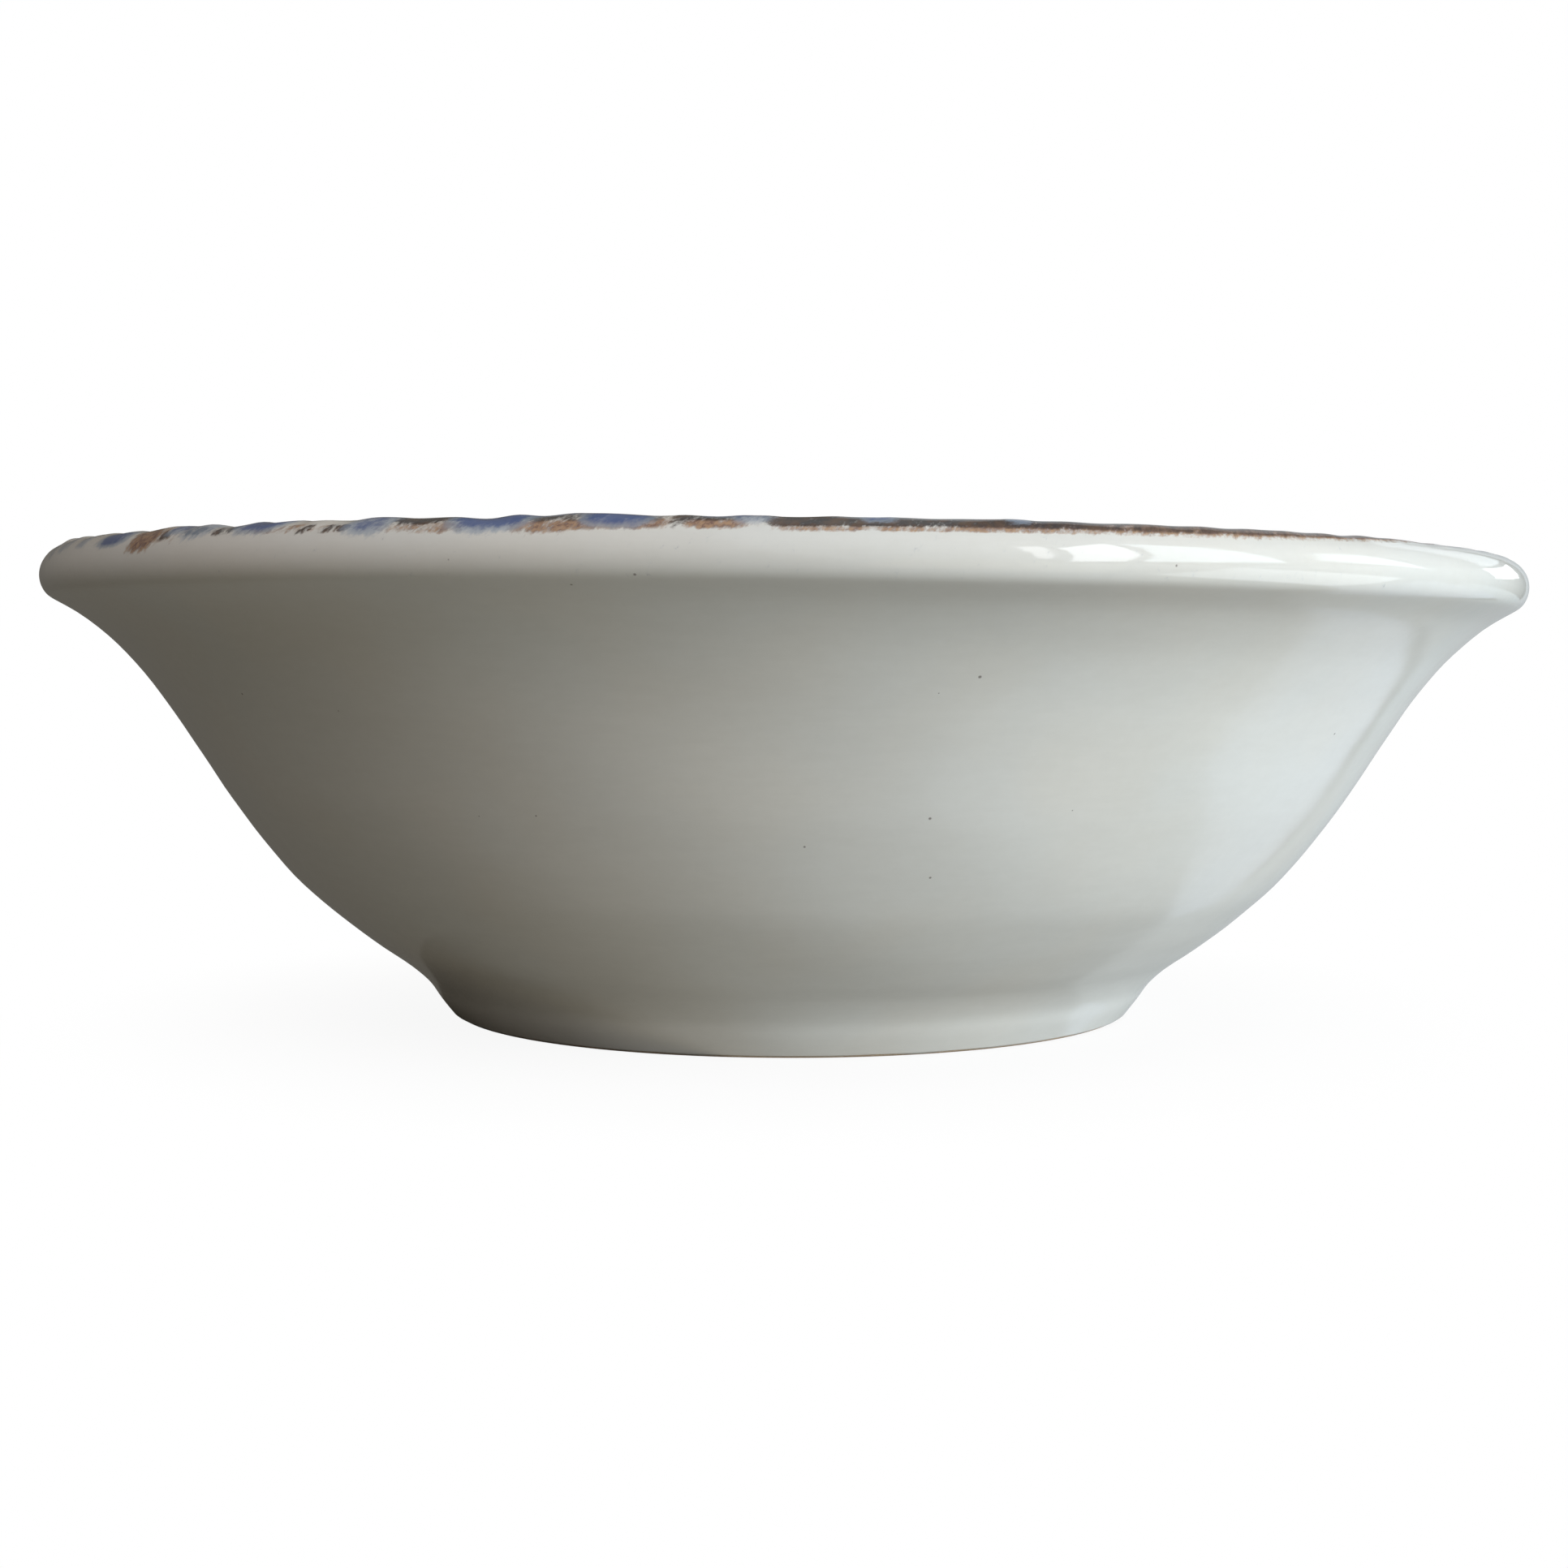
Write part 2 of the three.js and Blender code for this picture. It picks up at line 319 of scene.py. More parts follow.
def around(profile):
    """A profile of (radius, height) rows turned round the axis: rows by segments by xyz."""
    a = np.radians(AZIMUTHS)
    oval = 1 + 0.0011 * np.cos(2 * a + 0.6) + 0.0005 * np.cos(3 * a + 2)
    radius = profile[..., 0] * oval
    height = np.broadcast_to(profile[..., 1], radius.shape)
    return np.stack([radius * np.sin(a), -radius * np.cos(a), height], axis=-1)


def outline_frame(s):
    """Points of the outline and its outward normals, at distances along it."""
    step = 0.08
    points = along(OUTLINE, s)
    ahead = along(OUTLINE, np.minimum(s + step, OUTLINE_END))
    behind = along(OUTLINE, np.maximum(s - step, 0))
    tangent = (ahead - behind) / np.linalg.norm(ahead - behind, axis=-1, keepdims=True)
    return points, np.stack([tangent[:, 1], -tangent[:, 0]], axis=-1)


def glazed_rows(s):
    """The finished surface at distances along the outline."""
    points, normal = outline_frame(s)
    height = relief(AZIMUTHS[None, :], s[:, None])
    return around(points[:, None, :] + normal[:, None, :] * height[..., None])


def glazed_normals(s):
    """Normals of the whole finished surface, the same on both sides of every seam."""
    step = 0.05
    ahead = glazed_rows(np.minimum(s + step, OUTLINE_END))
    behind = glazed_rows(np.maximum(s - step, 0))
    rows = glazed_rows(s)
    turn = np.roll(rows, -1, axis=1) - np.roll(rows, 1, axis=1)
    normal = np.cross(turn, ahead - behind)
    return normal / np.maximum(np.linalg.norm(normal, axis=-1, keepdims=True), 1e-12)


def buried_rows(s, depth):
    """A smooth surface at a depth under the outline."""
    points, normal = outline_frame(s)
    return around((points - normal * depth)[:, None, :] * np.ones((1, SEGMENTS, 1)))


# ---------------------------------------------------------------- meshes

def skin(name, rings, normals, sheet_v, folds, closed=False, start=None, end=None):
    """A mesh over rings of points. It closes on itself, or ends in a point on the axis.

    sheet_v is each ring's place across the baking map, with one more value where the last ring
    joins the first; folds is how many arcs of the turn are stacked in that map.
    """
    rows = len(rings)
    points = list(rings.reshape(-1, 3) * MM)
    point_normals = list(normals.reshape(-1, 3))
    j = np.arange(SEGMENTS)
    following = (j + 1) % SEGMENTS
    faces, uvs = [], []
    fold = j * folds // SEGMENTS
    u_low = j * folds / SEGMENTS - fold
    u_high = u_low + folds / SEGMENTS

    def place(u, v):
        margin = 0.006
        inner = 1 - 2 * margin
        return np.column_stack([margin + u * inner, (fold + margin + v * inner) / folds])

    for i in range(rows if closed else rows - 1):
        low, high = i * SEGMENTS, (i + 1) % rows * SEGMENTS
        faces += np.column_stack([low + j, low + following, high + following, high + j]).tolist()
        v_low, v_high = sheet_v[i], sheet_v[i + 1]
        corners = [place(u_low, v_low), place(u_high, v_low), place(u_high, v_high), place(u_low, v_high)]
        uvs.append(np.stack(corners, axis=1).reshape(-1, 2))
    for pole, row, v in ((start, 0, 0.0), (end, rows - 1, 1.0)):
        if pole is None:
            continue
        ring = row * SEGMENTS
        tip = np.full(SEGMENTS, len(points))
        points.append(np.array([0, 0, pole]) * MM)
        point_normals.append(np.array([0, 0, 1.0 if row else -1.0]))
        first, second = (ring + following, ring + j) if row == 0 else (ring + j, ring + following)
        faces += np.column_stack([first, second, tip]).tolist()
        at_ring = sheet_v[row]
        sides = (u_high, u_low) if row == 0 else (u_low, u_high)
        corners = [place(sides[0], at_ring), place(sides[1], at_ring), place((u_low + u_high) / 2, v)]
        uvs.append(np.stack(corners, axis=1).reshape(-1, 2))

    mesh = bpy.data.meshes.new(name)
    mesh.from_pydata([tuple(p) for p in points], [], faces)
    mesh.uv_layers.new(name="OFBake").data.foreach_set("uv", np.vstack(uvs).ravel())
    mesh.shade_smooth()
    mesh.normals_split_custom_set_from_vertices([tuple(n) for n in point_normals])
    piece = bpy.data.objects.new(name, mesh)
    bpy.context.scene.collection.objects.link(piece)
    return piece


def across_map(over, under, closed):
    """Places across the baking map: the hidden underside gets a narrow strip, the rest follows length."""
    strip = 0.06
    under_v = np.linspace(0, strip, len(under))
    over_s = np.concatenate([[0], np.cumsum(np.linalg.norm(np.diff(over[:, 0], axis=0), axis=-1))])
    over_v = strip + 0.02 + (1 - strip - 0.02) * over_s / over_s[-1]
    if not closed:
        return np.concatenate([under_v, over_v * 0.98])
    return np.concatenate([under_v, over_v * 0.98, [1.0]])


def coat(name, s, folds, bead=False, to_axis=False):
    """A closed coat of glaze between two distances along the outline, on the clay under it."""
    over, over_normals = glazed_rows(s), glazed_normals(s)
    thickness = GLAZE - BOND_GAP
    if bead:
        over, over_normals = with_bead(over, over_normals, s[0], thickness)
    under_s = np.linspace(s[0], s[-1], 14)[::-1]
    if to_axis:
        over, over_normals, under_s = over[:-1], over_normals[:-1], under_s[1:]
    under = buried_rows(under_s, thickness)
    under_normals = -glazed_normals(under_s)
    return skin(
        name, np.concatenate([under, over]), np.concatenate([under_normals, over_normals]),
        across_map(over, under, not to_axis), folds, closed=not to_axis,
        start=WELL_FLOOR_Z - thickness if to_axis else None, end=WELL_FLOOR_Z if to_axis else None,
    )


def with_bead(over, over_normals, s, thickness):
    """Adds the rounded edge where the glaze was wiped back above the bare foot."""
    point, normal = outline_frame(np.array([s]))
    centre = point[0] - normal[0] * thickness
    outward = math.atan2(normal[0, 1], normal[0, 0])
    angles = outward + np.radians(np.linspace(-90, -12, 7))
    ring = np.column_stack([np.cos(angles), np.sin(angles)])
    rng = np.random.default_rng(SEED + 3)
    wander = ripple(rng, AZIMUTHS[None, :], np.zeros((1, 1)), 6, (4, 40), (9, 10), 0.05)
    drop = smoothstep(math.pi / 2, 0, outward - angles)
    rows = around((centre + ring * thickness)[:, None, :] * np.ones((1, SEGMENTS, 1)))
    rows[..., 2] += (1 - drop)[:, None] * wander
    a = np.radians(AZIMUTHS)
    normals = np.stack([ring[:, :1] * np.sin(a), -ring[:, :1] * np.cos(a), ring[:, 1:] + 0 * a], axis=-1)
    return np.concatenate([rows, over]), np.concatenate([normals, over_normals])


def turned(name, profile, folds=1, poles=(None, None), wobble=0.0):
    """A plain turned piece from a line of (radius, height), wound so that its left side is inside."""
    profile = np.array(profile, float)
    rings = around(profile[:, None, :] * np.ones((1, SEGMENTS, 1)))
    if wobble:
        rng = np.random.default_rng(SEED + 4)
        rings[..., 2] += ripple(rng, AZIMUTHS[None, :], profile[:, :1], 6, (3, 30), (2, 9), wobble)
    closed = poles == (None, None)
    after = np.roll(rings, -1, axis=0) if closed else np.concatenate([rings[1:], rings[-1:]])
    before = np.roll(rings, 1, axis=0) if closed else np.concatenate([rings[:1], rings[:-1]])
    normals = np.cross(np.roll(rings, -1, axis=1) - np.roll(rings, 1, axis=1), after - before)
    normals /= np.maximum(np.linalg.norm(normals, axis=-1, keepdims=True), 1e-12)
    return skin(name, rings, normals, np.linspace(0, 1, len(rings) + closed), folds,
                closed=closed, start=poles[0], end=poles[1])


def rounded(corners, radii, steps=5):
    """A line through corners, each rounded by its radius."""
    corners = [np.array(c, float) for c in corners]
    line = []
    for i, (corner, radius) in enumerate(zip(corners, radii)):
        if not radius:
            line.append(corner)
            continue
        before = corners[i - 1] - corner
        after = corners[(i + 1) % len(corners)] - corner
        start = corner + before / np.linalg.norm(before) * radius
        end = corner + after / np.linalg.norm(after) * radius
        for t in np.linspace(0, 1, steps):
            line.append((1 - t) ** 2 * start + 2 * t * (1 - t) * corner + t**2 * end)
    return line


def subdivided(line, spacing, closed):
    """The same line with points no further apart than a spacing."""
    ends = list(zip(line, line[1:] + line[:1])) if closed else list(zip(line, line[1:]))
    points = []
    for a, b in ends:
        count = max(1, math.ceil(np.linalg.norm(b - a) / spacing))
        points += [a + (b - a) * k / count for k in range(count)]
    return points if closed else points + [line[-1]]


# ---------------------------------------------------------------- pieces

def outside_glaze():
    s = np.concatenate([np.linspace(0, 7, 15), np.linspace(7, LIP_START - 3, 40)[1:],
                        np.linspace(LIP_START - 3, LIP_START, 12)[1:]])
    piece = coat("glaze_outside_coat", s, folds=3, bead=True)
    return finish_piece(piece, ivory_material(), "ivory_glaze", "glaze_outside")


def rim_glaze():
    lip_end = LIP_START + LIP_LENGTH
    s = np.concatenate([np.linspace(LIP_START, lip_end, 52), np.linspace(lip_end, RIM_END, 28)[1:]])
    piece = coat("glaze_rim_painted", s, folds=5)
    add_paint_fields(piece, s)
    dabs = [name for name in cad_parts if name.startswith("blue_dab_")]
    return finish_piece(piece, rim_material(), "ivory_glaze", "glaze_rim", "iron_slip_band", *sorted(dabs))


def inside_glaze():
    well_edge = OUTLINE_END - WELL_FLOOR_RADIUS
    s = np.concatenate([np.linspace(RIM_END, well_edge, 52), np.linspace(well_edge, OUTLINE_END, 24)[1:]])
    piece = coat("glaze_inside_coat", s, folds=3, to_axis=True)
    return finish_piece(piece, ivory_material(), "ivory_glaze", "glaze_inside")


def clay_core():
    s = np.linspace(0, OUTLINE_END, 140)
    points, normal = outline_frame(s)
    line = points - normal * GLAZE
    line = line[line[:, 1] > FOOT_JOINT_Z]
    profile = [(line[0, 0], FOOT_JOINT_Z), *line[:-1]]
    piece = turned("clay_core", [(20, FOOT_JOINT_Z), (34, FOOT_JOINT_Z), *profile],
                   poles=(FOOT_JOINT_Z, WELL_FLOOR_Z - GLAZE))
    return finish_piece(piece, biscuit_material(), "biscuit", "clay_body")


def foot():
    """The ring under the bowl: bare clay, eased at its edges, with fine turning marks."""
    top = FOOT_JOINT_Z - BOND_GAP
    inner, outer = STANDING_FACE
    side = FOOT_RADIUS - 0.3
    corners = [(inner, 0), (outer, 0), (side - 0.08, FOOT_EDGE * 0.4), (side, FOOT_EDGE + 0.27),
               (side + 1.55, top), (RECESS_RADIUS, top)]
    line = rounded(corners, [0.5, 0.1, 0.1, 0.2, 0, 0])
    profile = subdivided(line, 0.35, closed=True)
    piece = turned("foot_ring_bare", profile, folds=3)
    return finish_piece(piece, biscuit_material(), "biscuit", "foot_ring")


def base_glaze():
    """The coat in the hollow of the foot, thicker where it gathers against the ring."""
    top = FOOT_JOINT_Z - BOND_GAP
    radius = RECESS_RADIUS - BOND_GAP
    gather = 0.25
    under_radii = np.linspace(0.8, radius - 0.3, 40)
    under = [(r, top - GLAZE - gather * smoothstep(radius - 3, radius, r)) for r in under_radii]
    over = [(r, top) for r in np.linspace(radius - 2, 0.8, 6)]
    profile = [*under, (radius, top - GLAZE), (radius, top), *over]
    piece = turned("glaze_base_coat", profile, poles=(top - GLAZE, top), wobble=0.02)
    return finish_piece(piece, ivory_material(), "ivory_glaze", "glaze_base")


def finish_piece(piece, material, slot, *nodes):
    piece.data.materials.append(material)
    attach(piece, "root")
    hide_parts(*nodes)
    return piece


def add_paint_fields(piece, s):
    """Puts the brush marks, and coordinates that follow the brush, on the rim's points."""
    count = len(piece.data.vertices)
    rows = len(s)
    azimuth, distance = np.meshgrid(AZIMUTHS, s)
    angle = lip_angle(distance)
    for name, field in paint_fields(azimuth, angle).items():
        values = np.zeros(count)
        values[count - rows * SEGMENTS:] = field.ravel()
        piece.data.attributes.new(name, "FLOAT", "POINT").data.foreach_set("value", values)
    up = np.radians(angle - 90) * LIP_RADIUS
    slant = 0.45
    a = np.radians(azimuth) - slant * np.clip(up, -4, 4) / RIM_RADIUS
    brush = np.zeros((count, 3))
    brush[count - rows * SEGMENTS:] = np.stack(
        [RIM_RADIUS * np.sin(a), -RIM_RADIUS * np.cos(a), up], axis=-1).reshape(-1, 3)
    piece.data.attributes.new("brush", "FLOAT_VECTOR", "POINT").data.foreach_set("vector", brush.ravel())
    height = np.zeros(count)
    height[count - rows * SEGMENTS:] = (np.radians(angle - edge_angle(azimuth)) * LIP_RADIUS).ravel()
    piece.data.attributes.new("above_edge", "FLOAT", "POINT").data.foreach_set("value", height)


# ---------------------------------------------------------------- materials

class Nodes:
    """Short calls for the nodes of one material."""

    def __init__(self, name):
        self.material = bpy.data.materials.new(name)
        self.material.use_nodes = True
        self.tree = self.material.node_tree
        self.shader = self.tree.nodes["Principled BSDF"]

    def link(self, value, socket):
        if isinstance(value, bpy.types.NodeSocket):
            self.tree.links.new(value, socket)
        else:
            socket.default_value = value

    def attribute(self, name, output="Fac"):
        node = self.tree.nodes.new("ShaderNodeAttribute")
        node.attribute_name = name
        return node.outputs[output]

    def place(self):
        """Places on the object in millimetres."""
        coordinates = self.tree.nodes.new("ShaderNodeTexCoord").outputs["Object"]
        return self.vector("MULTIPLY", coordinates, (1000, 1000, 1000))

    def vector(self, operation, a, b):
        node = self.tree.nodes.new("ShaderNodeVectorMath")
        node.operation = operation
        self.link(a, node.inputs[0])
        self.link(b, node.inputs[1])
        return node.outputs["Value" if operation in ("DISTANCE", "DOT_PRODUCT") else "Vector"]

    def math(self, operation, a, b=0.0):
        node = self.tree.nodes.new("ShaderNodeMath")
        node.operation = operation
        self.link(a, node.inputs[0])
        self.link(b, node.inputs[1])
        return node.outputs[0]

    def noise(self, place, scale, detail=3.0, roughness=0.55, offset=0.0):
        """Fractal noise from about 0.2 to 0.8. scale is in waves per millimetre."""
        node = self.tree.nodes.new("ShaderNodeTexNoise")
        self.link(self.vector("ADD", place, (offset, offset * 0.7, -offset)), node.inputs["Vector"])
        node.inputs["Scale"].default_value = scale
        node.inputs["Detail"].default_value = detail
        node.inputs["Roughness"].default_value = roughness
        return node.outputs["Fac"]

    def ramp(self, value, low, high, out_low=0.0, out_high=1.0):
        node = self.tree.nodes.new("ShaderNodeMapRange")
        node.interpolation_type = "SMOOTHSTEP"
        for socket, given in zip(node.inputs, (value, low, high, out_low, out_high)):
            self.link(given, socket)
        return node.outputs["Result"]

    def mix(self, amount, a, b, blend="MIX"):
        node = self.tree.nodes.new("ShaderNodeMix")
        node.data_type = "RGBA"
        node.blend_type = blend
        self.link(amount, node.inputs["Factor"])
        for socket, colour in (("A_Color", a), ("B_Color", b)):
            target = next(i for i in node.inputs if i.identifier == socket)
            self.link(colour if isinstance(colour, bpy.types.NodeSocket) else (*colour, 1), target)
        return next(o for o in node.outputs if o.identifier == "Result_Color")

    def red(self, colour):
        node = self.tree.nodes.new("ShaderNodeSeparateColor")
        self.link(colour, node.inputs[0])
        return node.outputs[0]

    def bump(self, height, distance, strength=1.0):
        """distance is in millimetres."""
        node = self.tree.nodes.new("ShaderNodeBump")
        node.inputs["Strength"].default_value = strength
        node.inputs["Distance"].default_value = distance * MM
        self.link(height, node.inputs["Height"])
        self.link(node.outputs["Normal"], self.shader.inputs["Normal"])

    def finish(self, colour, roughness):
        self.link(colour, self.shader.inputs["Base Color"])
        self.link(roughness, self.shader.inputs["Roughness"])
        return self.material


IVORY = (0.80, 0.785, 0.735)
IVORY_WARM = (0.795, 0.775, 0.715)
IVORY_COOL = (0.775, 0.785, 0.755)
GLAZE_SHADE = (0.50, 0.49, 0.45)
SPECK_COLOUR = (0.13, 0.10, 0.085)
PEACH = (0.72, 0.60, 0.47)
ORANGE = (0.45, 0.26, 0.135)
BROWN = (0.17, 0.07, 0.045)
CHARCOAL = (0.055, 0.05, 0.052)
CHARCOAL_BROWN = (0.12, 0.08, 0.06)
COBALT = (0.085, 0.13, 0.30)
PALE_BLUE = (0.33, 0.40, 0.49)
BISCUIT = (0.60, 0.47, 0.34)
BISCUIT_DARK = (0.46, 0.34, 0.24)
# Roughness of the glaze, from its glossiest to its dullest: softer on the wall, sharp on the lip
WALL_GLOSS = (0.12, 0.16)
LIP_GLOSS = (0.03, 0.055)


def speck_places():
    """The specks on the finished outside surface, and a scatter round the back."""
    rng = np.random.default_rng(SEED + 5)
    marks = list(SPECKS)
    for _ in range(12):
        marks.append((rng.uniform(80, 280), rng.uniform(8, 42), rng.uniform(0.06, 0.14)))
    outside = along(OUTLINE, np.linspace(0, LIP_START + 5.5, 400))
    places = []
    for azimuth, height, radius in marks:
        r = np.interp(height, outside[:, 1], outside[:, 0])
        a = math.radians(azimuth)
        places.append(((r * math.sin(a), -r * math.cos(a), height), radius))
    return places


def ivory_colour(n, place):
    """Ivory glaze: barely mottled, with fine iron specks."""
    cloud = n.noise(place, 0.045, detail=2)
    fine = n.noise(place, 0.9, detail=4, offset=31)
    colour = n.mix(n.ramp(cloud, 0.35, 0.65), IVORY_WARM, IVORY_COOL)
    colour = n.mix(0.5, colour, IVORY)
    colour = n.mix(n.ramp(fine, 0.3, 0.72, 0.0, 0.05), colour, IVORY_WARM, "MULTIPLY")
    level = n.vector("MULTIPLY", place, (0.35, 0.35, 1.6))
    streaks = n.noise(level, 0.8, detail=4, roughness=0.65, offset=44)
    colour = n.mix(n.ramp(streaks, 0.3, 0.7, 0.0, 0.055), colour, GLAZE_SHADE)
    dots = n.tree.nodes.new("ShaderNodeTexVoronoi")
    n.link(place, dots.inputs["Vector"])
    dots.inputs["Scale"].default_value = 0.16
    chosen = n.math("GREATER_THAN", n.red(dots.outputs["Color"]), 0.8)
    dot = n.math("MULTIPLY", n.ramp(dots.outputs["Distance"], 0.02, 0.008), chosen)
    colour = n.mix(n.math("MULTIPLY", dot, 0.45), colour, SPECK_COLOUR)
    for centre, radius in speck_places():
        near = n.ramp(n.vector("DISTANCE", place, centre), radius * 1.4, radius * 0.5)
        colour = n.mix(n.math("MULTIPLY", near, 0.75), colour, SPECK_COLOUR)
    return colour


def glaze_gloss(n, place, low, high):
    """The glaze's roughness: smeared a little between two values."""
    smear = n.noise(place, 0.08, detail=3, offset=12)
    return n.ramp(smear, 0.3, 0.7, low, high)


def ivory_material():
    if "plain_ivory_glaze" in bpy.data.materials:
        return bpy.data.materials["plain_ivory_glaze"]
    n = Nodes("plain_ivory_glaze")
    place = n.place()
    n.bump(n.noise(place, 0.35, detail=2, offset=5), 0.012)
    return n.finish(ivory_colour(n, place), glaze_gloss(n, place, *WALL_GLOSS))


def rim_material():
    """Ivory glaze over brushed slips: a peach wash, rust, charcoal and cobalt, one on another."""
    n = Nodes("painted_rim_glaze")
    place = n.place()
    brush = n.attribute("brush", "Vector")
    streaked = n.vector("MULTIPLY", brush, (1.0, 1.0, 0.55))
    grain = n.noise(brush, 2.6, detail=4, roughness=0.7)
    blot = n.noise(brush, 0.8, detail=3, roughness=0.6, offset=9)
    streak = n.noise(streaked, 1.5, detail=3, roughness=0.6, offset=20)
    uneven = n.math("ADD", n.math("MULTIPLY", grain, 0.4), n.math("ADD", n.math("MULTIPLY", blot, 0.3),
                    n.math("MULTIPLY", streak, 0.3)))
    shift = n.math("SUBTRACT", uneven, 0.5)

    def brushed(field, low, high, shake):
        moved = n.math("ADD", n.attribute(field), n.math("MULTIPLY", shift, shake))
        return n.ramp(moved, low, high)

    ivory = ivory_colour(n, place)
    wash = n.math("MULTIPLY", brushed("wash", 0.3, 1.6, 2.6), 0.45)
    colour = n.mix(wash, ivory, PEACH)
    rust = brushed(RUST, 0.3, 0.9, 2.7)
    rust_colour = n.mix(n.ramp(grain, 0.38, 0.62), BROWN, ORANGE)
    colour = n.mix(n.math("MULTIPLY", rust, 0.88), colour, rust_colour)
    dark = brushed(DARK, 0.3, 0.85, 2.6)
    dark_colour = n.mix(n.ramp(blot, 0.4, 0.65), CHARCOAL, CHARCOAL_BROWN)
    colour = n.mix(n.math("MULTIPLY", dark, 0.92), colour, dark_colour)
    veil = brushed(BLUE, 0.08, 0.45, 1.4)
    colour = n.mix(n.math("MULTIPLY", veil, 0.65), colour, PALE_BLUE)
    blue = brushed(BLUE, 0.4, 0.95, 1.6)
    colour = n.mix(n.math("MULTIPLY", blue, 0.85), colour, COBALT)
    surface = n.noise(place, 0.35, detail=2, offset=5)
    n.bump(n.math("ADD", surface, n.math("MULTIPLY", grain, n.attribute(DARK))), 0.012)
    return n.finish(colour, glaze_gloss(n, place, *LIP_GLOSS))


def biscuit_material():
    """Bare fired earthenware: sandy, with fine turning lines round the axis."""
    if "bare_biscuit" in bpy.data.materials:
        return bpy.data.materials["bare_biscuit"]
    n = Nodes("bare_biscuit")
    place = n.place()
    sand = n.noise(place, 3.5, detail=4, roughness=0.7)
    radius = n.vector("DISTANCE", n.vector("MULTIPLY", place, (1, 1, 0)), (0, 0, 0))
    lines = n.math("SINE", n.math("MULTIPLY", radius, 14))
    colour = n.mix(n.ramp(sand, 0.3, 0.7), BISCUIT_DARK, BISCUIT)
    colour = n.mix(n.ramp(lines, -1, 1, 0.0, 0.18), colour, BISCUIT_DARK)
    n.bump(n.math("ADD", sand, n.math("MULTIPLY", lines, 0.3)), 0.05)
    return n.finish(colour, n.ramp(sand, 0.3, 0.7, 0.82, 0.95))


# ---------------------------------------------------------------- studio

CAMERA_DISTANCE = 246.3
CAMERA_HEIGHT = 34.65
CAMERA_LENS = 53.35
CAMERA_DOWN = 2.33
CAMERA_RIGHT = 2.37
CAMERA_ROLL = 0.42
CAMERA_SHIFT = (-0.067, -0.0064)
FLOOR_REACH = 4.0
FLOOR_CLEARANCE = 0.05
SHADOW_REACH = (38, 80)
SHADOW_SHARE = 0.08
ROOM = (0.112, 0.105, 0.092)
PAPER_WHITE = 1.0

LIGHT_DISTANCE = 0.8
PANE_DISTANCE = 0.8

# Soft lights: name, azimuth and elevation from the bowl, width, height in metres, colour, watts
LIGHTS = [
    ("window", 60, 12, 0.5, 0.4, (0.76, 0.88, 1.0), 2.3),
    ("overhead_front", -12, 45, 0.5, 0.4, (1.0, 0.94, 0.95), 1.9),
    ("back_fill", 185, 22, 0.7, 0.5, (1.0, 0.97, 0.94), 3.2),
    ("table_front", 30, -25, 0.5, 0.4, (1.0, 0.85, 0.5), 0.35),
    ("table_right", 80, -25, 0.5, 0.4, (0.89, 0.96, 1.0), 1.35),
    ("table_close", 55, -48, 0.5, 0.4, (0.9, 0.97, 1.0), 0.15),
    ("table_back", 120, -25, 0.5, 0.4, (0.7, 0.82, 1.0), 0.42),
    ("table_far", 160, -25, 0.5, 0.4, (0.84, 0.95, 1.0), 0.22),
]
# Lights too broad to be mirrored: the panes below stand for their reflections
UNMIRRORED = ("window", "overhead_front", "back_fill")
# Bright panes that the glaze mirrors: name, corner directions (azimuth, elevation), colour, radiance
PANES = [
    ("pane_slit", [(31, 24), (36, 28), (35, -5), (33, -6)], (0.97, 0.98, 1.0), 4.5),
    ("pane_left", [(38, 24), (51, 39), (46, -7), (38, -11)], (0.94, 0.97, 1.0), 6.2),
    ("pane_middle", [(54, 39), (66, 34), (70, 4), (48, -6)], (0.8, 0.93, 1.0), 4.6),
    ("pane_right", [(82, 27), (94, 26), (102, 7), (77, 11)], (0.82, 0.94, 1.0), 2.8),
    ("pane_side", [(129, 35), (145, 33), (143, 15), (124, 14)], (0.88, 0.96, 1.0), 0.9),
    ("back_wall", [(146, 45), (178, 45), (178, -16), (146, -16)], (0.9, 0.96, 1.0), 0.5),
    ("pane_corner", [(122, 12), (142, 13), (140, 5), (124, 2)], (0.97, 0.99, 1.0), 2.2),
    ("pane_low", [(112, -8), (140, -6), (165, -2), (165, -14), (116, -13)], (0.84, 0.95, 1.0), 0.5),
]
# Where the bowl's own shadow darkens the table: centre, radius and height in millimetres
TABLE_SHADE = ((-17, -13), 25, -0.2)


def direction(azimuth, elevation):
    a, e = math.radians(azimuth), math.radians(elevation)
    return Vector((math.sin(a) * math.cos(e), -math.cos(a) * math.cos(e), math.sin(e)))


def add_light(name, azimuth, elevation, width, height, colour, watts):
    data = bpy.data.lights.new(name, "AREA")
    data.shape = "RECTANGLE"
    data.size, data.size_y = width, height
    data.color = colour
    data.energy = watts
    lamp = bpy.data.objects.new(name, data)
    towards = direction(azimuth, elevation)
    middle = Vector((0, 0, LIP_CENTRE_Z / 2 * MM))
    facing = towards.to_track_quat("Z", "Y").to_matrix().to_4x4()
    lamp.matrix_world = Matrix.Translation(middle + towards * LIGHT_DISTANCE) @ facing
    lamp.visible_camera = False
    lamp.visible_glossy = name not in UNMIRRORED
    bpy.context.scene.collection.objects.link(lamp)


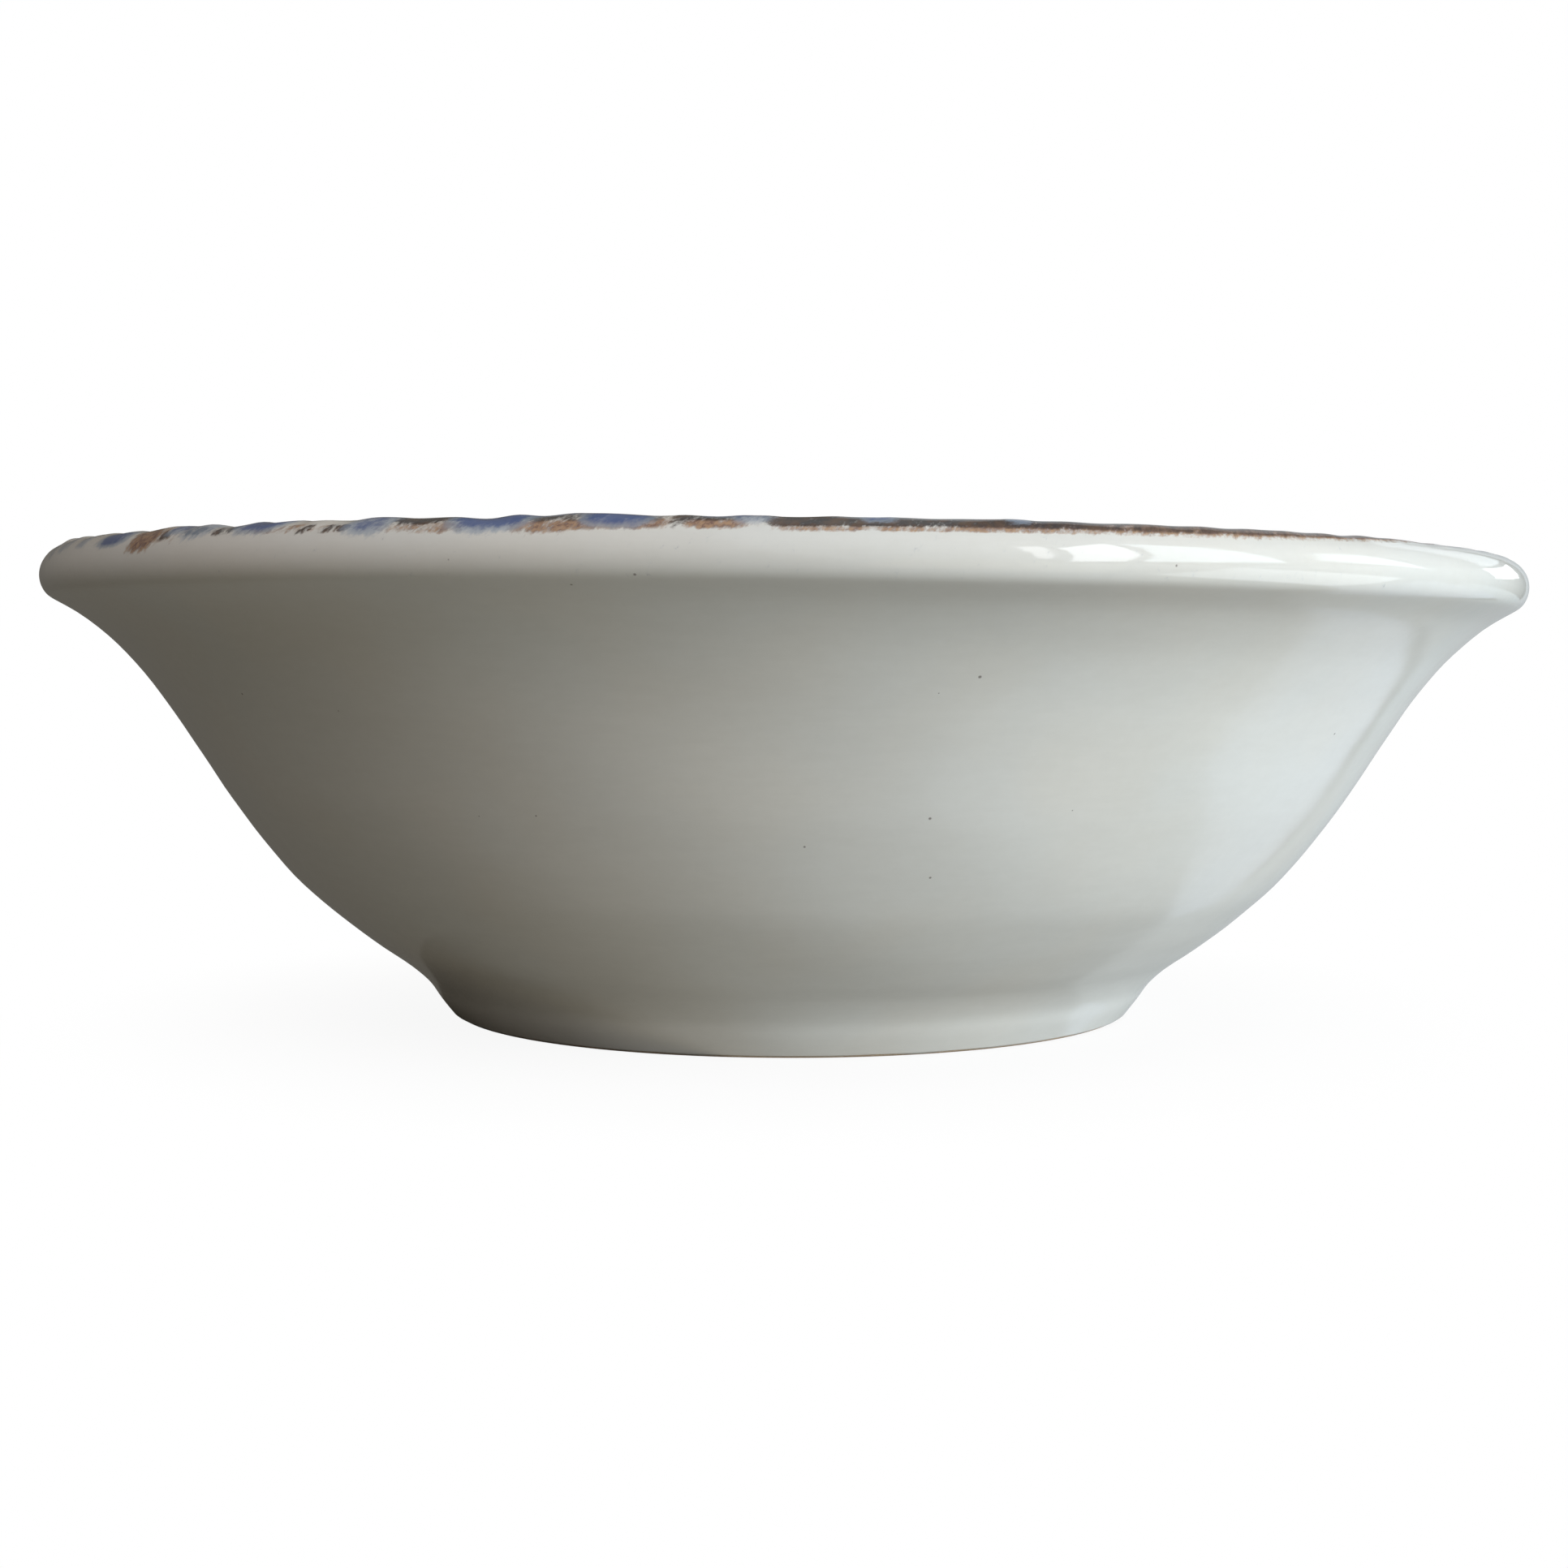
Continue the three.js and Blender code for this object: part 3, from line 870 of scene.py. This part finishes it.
def add_pane(name, corners, colour, radiance):
    """A flat bright pane that the camera doesn't see and that casts no shadow."""
    middle = Vector((0, 0, LIP_CENTRE_Z * MM))
    points = [middle + direction(*corner) * PANE_DISTANCE for corner in corners]
    mesh = bpy.data.meshes.new(name)
    mesh.from_pydata(points, [], [tuple(range(len(points)))])
    pane = bpy.data.objects.new(name, mesh)
    bpy.context.scene.collection.objects.link(pane)
    n = Nodes(name)
    n.tree.nodes.remove(n.shader)
    glow = n.tree.nodes.new("ShaderNodeEmission")
    glow.inputs["Color"].default_value = (*colour, 1)
    glow.inputs["Strength"].default_value = radiance
    n.link(glow.outputs[0], n.tree.nodes["Material Output"].inputs["Surface"])
    mesh.materials.append(n.material)
    pane.visible_camera = False
    pane.visible_shadow = False


def add_camera():
    data = bpy.data.cameras.new("camera")
    data.lens = CAMERA_LENS
    data.sensor_width = 36
    data.clip_start = 0.01
    data.shift_x, data.shift_y = CAMERA_SHIFT
    camera = bpy.data.objects.new("camera", data)
    place = Matrix.Translation((0, -CAMERA_DISTANCE * MM, CAMERA_HEIGHT * MM))
    aim = Matrix.Rotation(-math.radians(CAMERA_RIGHT), 4, "Z")
    tilt = Matrix.Rotation(math.radians(90 - CAMERA_DOWN), 4, "X")
    roll = Matrix.Rotation(math.radians(CAMERA_ROLL), 4, "Z")
    camera.matrix_world = place @ aim @ tilt @ roll
    bpy.context.scene.collection.objects.link(camera)
    bpy.context.scene.camera = camera


def add_world():
    """White paper for the camera; a dim warm room for the light on the bowl."""
    world = bpy.data.worlds.new("studio")
    bpy.context.scene.world = world
    world.use_nodes = True
    nodes, links = world.node_tree.nodes, world.node_tree.links
    room = nodes["Background"]
    room.inputs["Color"].default_value = (*ROOM, 1)
    paper = nodes.new("ShaderNodeBackground")
    paper.inputs["Color"].default_value = (PAPER_WHITE, PAPER_WHITE, PAPER_WHITE, 1)
    rays = nodes.new("ShaderNodeLightPath")
    mix = nodes.new("ShaderNodeMixShader")
    links.new(rays.outputs["Is Camera Ray"], mix.inputs[0])
    links.new(room.outputs[0], mix.inputs[1])
    links.new(paper.outputs[0], mix.inputs[2])
    links.new(mix.outputs[0], nodes["World Output"].inputs["Surface"])


def add_floor():
    """White paper with a faint soft shadow round the foot. From below it is see-through."""
    mesh = bpy.data.meshes.new("floor")
    r = FLOOR_REACH
    z = -FLOOR_CLEARANCE * MM
    mesh.from_pydata([(-r, -r, z), (r, -r, z), (r, r, z), (-r, r, z)], [], [(0, 1, 2, 3)])
    floor = bpy.data.objects.new("floor", mesh)
    bpy.context.scene.collection.objects.link(floor)
    n = Nodes("white_paper")
    distance = n.vector("DISTANCE", n.place(), (0, 0, 0))
    near = n.ramp(distance, *SHADOW_REACH, SHADOW_SHARE, 0.0)
    n.tree.nodes.remove(n.shader)
    diffuse = n.tree.nodes.new("ShaderNodeBsdfDiffuse")
    diffuse.inputs["Color"].default_value = (0.9, 0.9, 0.89, 1)
    glow = n.tree.nodes.new("ShaderNodeEmission")
    glow.inputs["Color"].default_value = (PAPER_WHITE, PAPER_WHITE, PAPER_WHITE, 1)
    mix = n.tree.nodes.new("ShaderNodeMixShader")
    n.link(near, mix.inputs[0])
    n.link(glow.outputs[0], mix.inputs[1])
    n.link(diffuse.outputs[0], mix.inputs[2])
    see_through = n.tree.nodes.new("ShaderNodeMixShader")
    n.link(n.tree.nodes.new("ShaderNodeNewGeometry").outputs["Backfacing"], see_through.inputs[0])
    n.link(mix.outputs[0], see_through.inputs[1])
    n.link(n.tree.nodes.new("ShaderNodeBsdfTransparent").outputs[0], see_through.inputs[2])
    n.link(see_through.outputs[0], n.tree.nodes["Material Output"].inputs["Surface"])
    mesh.materials.append(n.material)
    floor.visible_diffuse = False
    floor.visible_glossy = False
    floor.visible_shadow = False


def add_table_shade():
    """A dark disc under the bowl's shaded side, which the camera doesn't see."""
    (x, y), radius, z = TABLE_SHADE
    turn = np.linspace(0, 2 * math.pi, 48, endpoint=False)
    points = [((x + radius * math.cos(a)) * MM, (y + radius * math.sin(a)) * MM, z * MM) for a in turn]
    mesh = bpy.data.meshes.new("table_shade")
    mesh.from_pydata(points, [], [tuple(range(len(points)))])
    disc = bpy.data.objects.new("table_shade", mesh)
    bpy.context.scene.collection.objects.link(disc)
    n = Nodes("table_shade")
    mesh.materials.append(n.finish((0.28, 0.26, 0.23, 1), 1.0))
    disc.visible_camera = False


def build():
    add_camera()
    add_world()
    add_floor()
    add_table_shade()
    for light in LIGHTS:
        add_light(*light)
    for pane in PANES:
        add_pane(*pane)
    bpy.context.scene.view_settings.view_transform = "Standard"
    clay_core()
    foot()
    outside_glaze()
    rim_glaze()
    inside_glaze()
    base_glaze()


build()
